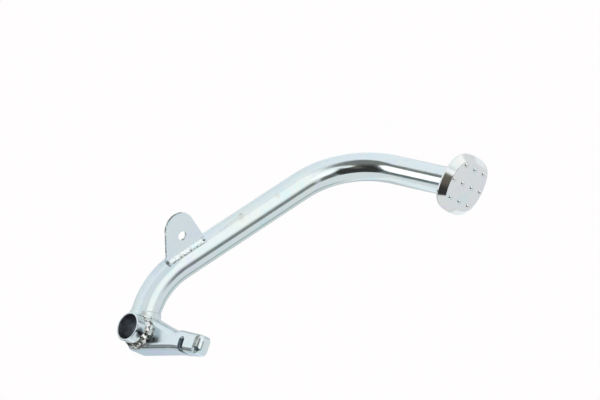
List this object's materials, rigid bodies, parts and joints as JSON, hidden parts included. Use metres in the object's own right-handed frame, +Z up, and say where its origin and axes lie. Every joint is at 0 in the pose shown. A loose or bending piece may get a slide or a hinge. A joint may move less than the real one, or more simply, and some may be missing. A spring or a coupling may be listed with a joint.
{
  "type": "motorcycle rear brake pedal",
  "caption": "Welded, zinc plated steel foot lever: a bent tube with a studded foot pad, a pivot tube, a slotted channel arm and a drilled switch tab.",
  "frame": {"origin": "on the pivot axis, at the middle of the pivot tube's length", "axes": "+Y along the pivot axis, towards the machine; +X forwards along the lever, in its plane of swing; +Z up, from the pivot to the foot pad's side"},
  "size_m": [0.2465, 0.2029, 0.101],
  "materials": {
    "zinc_tube": "bright zinc plate over smooth drawn tube, slightly bluish",
    "zinc_pressing": "bright zinc plate over pressed sheet, satin with sharp folds",
    "zinc_pad": "bright zinc plate over pressed sheet, satin",
    "zinc_weld": "bright zinc plate over a rippled weld bead"
  },
  "bodies": {
    "root": {"pivot_tube": "zinc_tube", "lever_tube": "zinc_tube", "arm_bracket": "zinc_pressing", "arm_back_plate": "zinc_pressing", "switch_tab": "zinc_pressing", "foot_pad": "zinc_pad", "pivot_weld_outer": "zinc_weld", "pivot_weld_inner": "zinc_weld", "lever_foot_weld": "zinc_weld", "tab_weld_upper": "zinc_weld", "tab_weld_lower": "zinc_weld", "pad_weld": "zinc_weld"}
  },
  "joints": []
}
